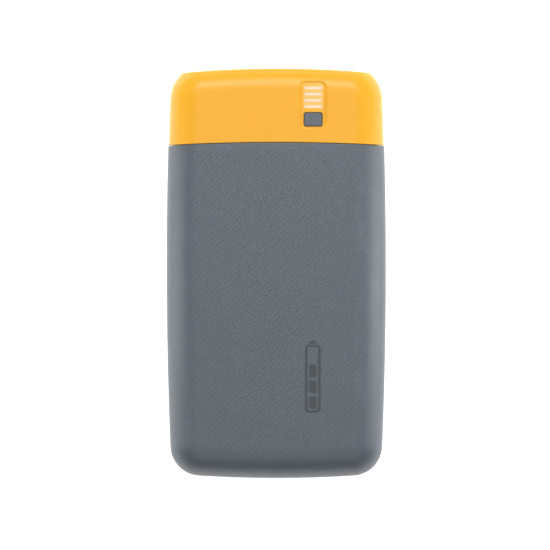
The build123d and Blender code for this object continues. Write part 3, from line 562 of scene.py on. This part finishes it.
def snap_dome():
    """Sheet metal dome of the switch, which the plunger presses."""
    low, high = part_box("switch_dome")
    middle = (low + high) / 2
    reach = (high.x - low.x) / 2
    rise = high.z - low.z
    radius = (reach**2 + rise**2) / (2 * rise)
    centre = Vector((middle.x, middle.y, high.z - radius))
    bm = bmesh.new()
    outer = dome_shell(bm, centre, radius, low.z)
    inner = dome_shell(bm, centre, radius - DOME_SHEET * MM, low.z)
    for i in range(DOME_TURNS):
        j = (i + 1) % DOME_TURNS
        bm.faces.new((outer[i], outer[j], inner[j], inner[i]))
    bmesh.ops.recalc_face_normals(bm, faces=bm.faces)
    mesh = mesh_from("snap_dome", bm)
    smooth(mesh)
    piece = make_piece("snap_dome", mesh, "casing", SLOT_LOOKS["bright_steel"])
    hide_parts("switch_dome")
    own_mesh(piece)


snap_dome()


# --- printed battery mark ---------------------------------------------------------------------
MARK_X = 11.8
MARK_Y = -34.0
MARK_LONG = 22.0
MARK_WIDE = 5.0
MARK_STROKE = 0.75
MARK_CORNER = 1.3
MARK_LIFT = 0.1
MARK_SINK = 0.05
TIP_WIDE = 2.2
TIP_LONG = 0.9
TIP_OUT = 0.75
LEVELS = 4
LEVELS_FULL = 3
LEVEL_GAP = 1.2
SMALL_CORNER = 0.3
CORNER_STEPS = 8


def rounded_loop(cx, cy, wide, long, radius):
    """Points of a rounded rectangle, anticlockwise."""
    points = []
    for corner, (sx, sy) in enumerate(((1, 1), (-1, 1), (-1, -1), (1, -1))):
        for step in range(CORNER_STEPS + 1):
            angle = math.radians(90 * corner + 90 * step / CORNER_STEPS)
            x = cx + sx * (wide / 2 - radius) + radius * math.cos(angle)
            y = cy + sy * (long / 2 - radius) + radius * math.sin(angle)
            points.append((x, y))
    return points


def add_plate(bm, loop, hole=None):
    """Thin plate on the front face inside loop, with an optional hole of as many points."""
    top_z = THICKNESS + MARK_LIFT
    low_z = THICKNESS - MARK_SINK

    def ring(points, z):
        return [bm.verts.new(Vector((x, y, z)) * MM) for x, y in points]

    top, low = ring(loop, top_z), ring(loop, low_z)
    count = len(loop)
    for i in range(count):
        j = (i + 1) % count
        bm.faces.new((low[i], low[j], top[j], top[i]))
    if hole is None:
        bm.faces.new(top)
        bm.faces.new(list(reversed(low)))
        return
    top_in, low_in = ring(hole, top_z), ring(hole, low_z)
    for i in range(count):
        j = (i + 1) % count
        bm.faces.new((top[i], top[j], top_in[j], top_in[i]))
        bm.faces.new((low[j], low[i], low_in[i], low_in[j]))
        bm.faces.new((low_in[j], low_in[i], top_in[i], top_in[j]))


def battery_mark():
    """Generic battery pictogram lying along the bank, filled to three of four levels."""
    bm = bmesh.new()
    wide_in = MARK_WIDE - 2 * MARK_STROKE
    long_in = MARK_LONG - 2 * MARK_STROKE
    outer = rounded_loop(MARK_X, MARK_Y, MARK_WIDE, MARK_LONG, MARK_CORNER)
    inner = rounded_loop(MARK_X, MARK_Y, wide_in, long_in, MARK_CORNER - MARK_STROKE)
    add_plate(bm, outer, inner)
    tip_y = MARK_Y + MARK_LONG / 2 + TIP_OUT
    add_plate(bm, rounded_loop(MARK_X, tip_y, TIP_WIDE, TIP_LONG, SMALL_CORNER))
    level = long_in / LEVELS
    for index in range(LEVELS_FULL):
        y = MARK_Y - long_in / 2 + level * (index + 0.5)
        add_plate(bm, rounded_loop(MARK_X, y, wide_in - LEVEL_GAP, level - LEVEL_GAP, SMALL_CORNER))
    make_piece("battery_mark", mesh_from("battery_mark", bm), "casing", MARK)


battery_mark()


# --- stage: floor, light, camera ------------------------------------------------------------------
# metres; the span is the width of the view at half the bank's thickness
VIEW_SPAN = 0.17803
VIEW_HEIGHT = 5.0
VIEW_OFFSET = (-0.00042, -0.00053)
VIEW_END = 50.0
SENSOR_MM = 36.0
FLOOR_REACH = 8.0
FLOOR_CELLS = 8
FLOOR_TONES = ((0.9, 0.9, 0.9), (0.92, 0.92, 0.92))
FLOOR_GLOW = 0.85
ROOM_GLOW = 0.05
AIM = (0.0, 0.0, 0.01)

# name: place and size in m, power in W
LAMPS = {
    "strip_left": ((-0.22, 0.0, 0.04), (0.08, 0.28), 0.24),
    "strip_right": ((0.22, 0.0, 0.04), (0.08, 0.28), 0.32),
    "strip_ports_end": ((0.0, 0.35, 0.08), (0.4, 0.12), 0.2),
    "soft_ports_end": ((0.0, 0.45, 0.60), (0.6, 0.3), 3.0),
    "soft_tail_end": ((0.0, -0.45, 0.60), (0.6, 0.3), 0.9),
    "brim_light": ((0.0, 0.22, 0.45), (0.4, 0.15), 0.35),
    "overhead": ((0.0, 0.0, 1.5), (0.7, 0.7), 2.4),
}


def floor():
    """Light table: a pale sheet that gives off a strong, even light of its own."""
    bm = bmesh.new()
    bmesh.ops.create_grid(bm, x_segments=FLOOR_CELLS, y_segments=FLOOR_CELLS, size=FLOOR_REACH)
    mesh = mesh_from("floor", bm)
    piece = add_object("floor", mesh)
    look = Look("floor")
    look.colour(look.mix(look.ramp(look.noise(size_mm=400.0), low=0, high=1), *FLOOR_TONES))
    look.set(Roughness=0.9, Specular_IOR_Level=0.1)
    look.set(Emission_Color=WHITE, Emission_Strength=FLOOR_GLOW)
    mesh.materials.append(look.material)


def area_light(name, place, size, power):
    """Rectangular lamp that points at the object."""
    light = bpy.data.lights.new(name, "AREA")
    light.shape = "RECTANGLE"
    light.size, light.size_y = size
    light.energy = power
    lamp = add_object(name, light)
    lamp.location = place
    lamp.rotation_euler = (Vector(AIM) - Vector(place)).to_track_quat("-Z", "Y").to_euler()


def room():
    """Dim, even surroundings beyond the floor."""
    world = bpy.data.worlds.new("studio")
    bpy.context.scene.world = world
    world.use_nodes = True
    background = world.node_tree.nodes["Background"]
    background.inputs["Color"].default_value = WHITE
    background.inputs["Strength"].default_value = ROOM_GLOW


def stage():
    """Everything around the object."""
    floor()
    room()
    for name, (place, size, power) in LAMPS.items():
        area_light(name, place, size, power)


def camera():
    """Camera straight above, so far away that the view is nearly parallel."""
    data = bpy.data.cameras.new("camera")
    data.sensor_width = SENSOR_MM
    data.lens = SENSOR_MM * (VIEW_HEIGHT - THICKNESS * MM / 2) / VIEW_SPAN
    data.clip_end = VIEW_END
    view = add_object("camera", data)
    view.location = (*VIEW_OFFSET, VIEW_HEIGHT)
    bpy.context.scene.camera = view


stage()
camera()
bpy.context.scene.view_settings.view_transform = "Standard"
